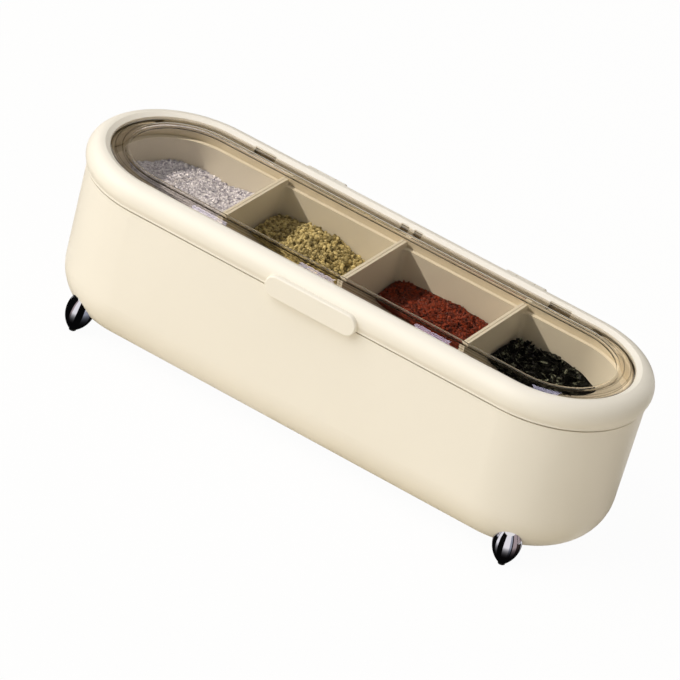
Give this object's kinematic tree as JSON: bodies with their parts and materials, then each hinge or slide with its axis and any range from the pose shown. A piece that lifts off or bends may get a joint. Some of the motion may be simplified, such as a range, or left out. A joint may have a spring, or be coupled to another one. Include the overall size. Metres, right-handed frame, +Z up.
{
  "type": "condiment caddy",
  "caption": "Long tub with round ends on splayed feet, with a rear-hinged lid, a clear window in it, and lift-out condiment boxes side by side in a raised collar.",
  "frame": {"origin": "on the table, at the middle of the whole box that the caddy fills with its lid closed: midway along it, and midway between the face of the tab and the backs of the hinges", "axes": "+X along the caddy to the right as seen from the front, +Y towards the hinges at the rear, +Z up"},
  "size_m": [0.33, 0.1158, 0.1008],
  "materials": {
    "cream_shell": "satin",
    "ivory_frame": "satin",
    "beige_boxes": "satin",
    "smoke_window": "clear, smoke tint",
    "silicone": "matte",
    "pad_rubber": "matte",
    "foot_chrome": "polished",
    "pin_steel": "plain"
  },
  "bodies": {
    "tub": {"body_shell": "cream_shell", "inner_frame": "ivory_frame", "box_left_end": "beige_boxes", "box_left_middle": "beige_boxes", "box_right_middle": "beige_boxes", "box_right_end": "beige_boxes", "hinge_pin_left": "pin_steel", "hinge_pin_right": "pin_steel", "foot_front_left": "foot_chrome", "foot_front_right": "foot_chrome", "foot_rear_left": "foot_chrome", "foot_rear_right": "foot_chrome", "pad_front_left": "pad_rubber", "pad_front_right": "pad_rubber", "pad_rear_left": "pad_rubber", "pad_rear_right": "pad_rubber", "foot_screws": "pin_steel"},
    "lid": {"lid_frame": "cream_shell", "window_pane": "smoke_window", "lid_seal": "silicone", "front_tab": "cream_shell"}
  },
  "joints": [
    {"name": "lid_hinge", "type": "hinge", "parent": "tub", "child": "lid", "pos_m": [0, 0.0542, 0.0911], "axis": [-1, 0, 0], "range_deg": [0, 105]}
  ]
}
